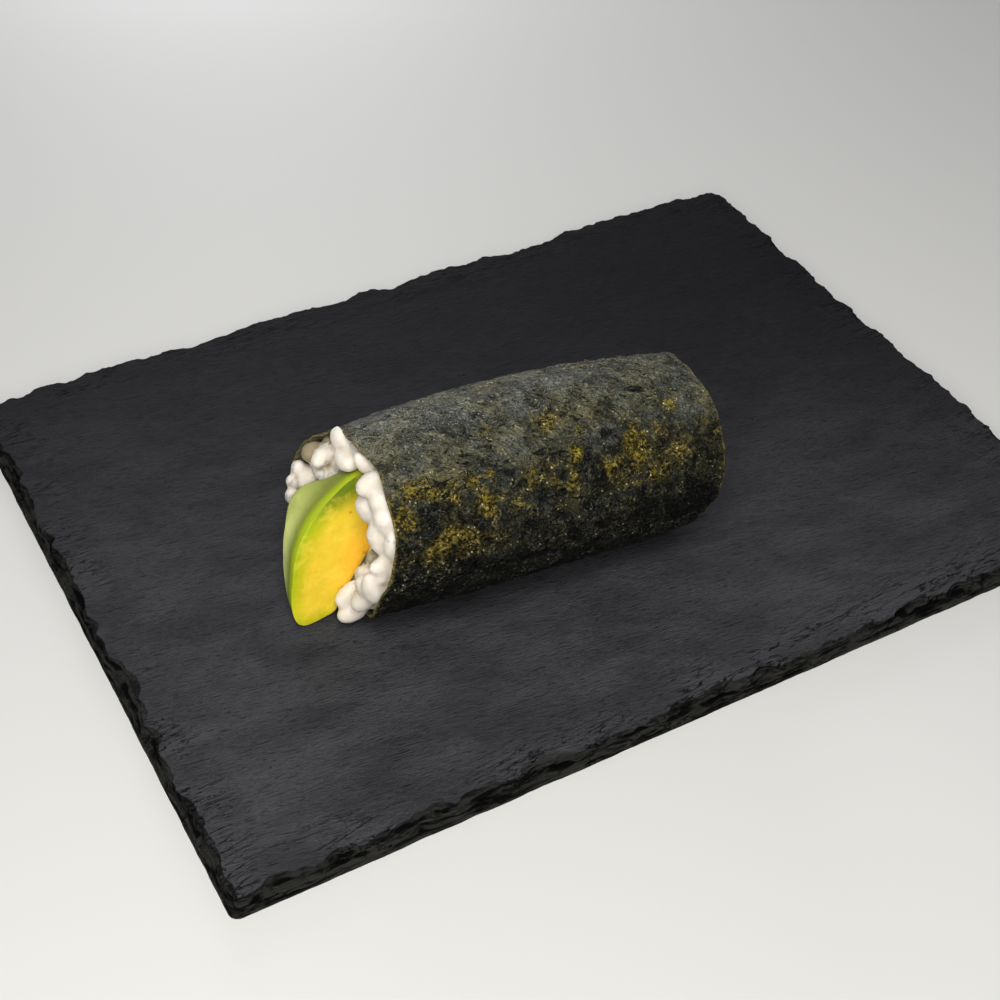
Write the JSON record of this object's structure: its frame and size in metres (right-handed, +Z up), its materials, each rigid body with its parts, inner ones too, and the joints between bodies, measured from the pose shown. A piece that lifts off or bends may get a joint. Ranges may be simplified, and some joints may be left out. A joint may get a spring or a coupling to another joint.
{
  "type": "avocado hand roll",
  "caption": "Hand roll of seaweed round rice and a long avocado wedge, lying on a thin rectangular slate serving board with chipped edges.",
  "frame": {"origin": "middle of the bottom of the bounding box: the middle of the board's flat underside", "axes": "+X along the board's long side, toward the far end of the roll; +Y along its short side, toward the side away from the roll; +Z up from the board"},
  "size_m": [0.2398, 0.1768, 0.0516],
  "materials": {
    "slate_board": "matte, riven",
    "nori_wrap": "satin, dark green-black dried seaweed",
    "rice": "moist, slightly translucent cooked rice",
    "avocado_wedge": "moist, soft avocado flesh"
  },
  "bodies": {
    "root": {"slate_board": "slate_board", "nori_wrap": "nori_wrap", "rice": "rice", "avocado_wedge": "avocado_wedge"}
  },
  "joints": []
}
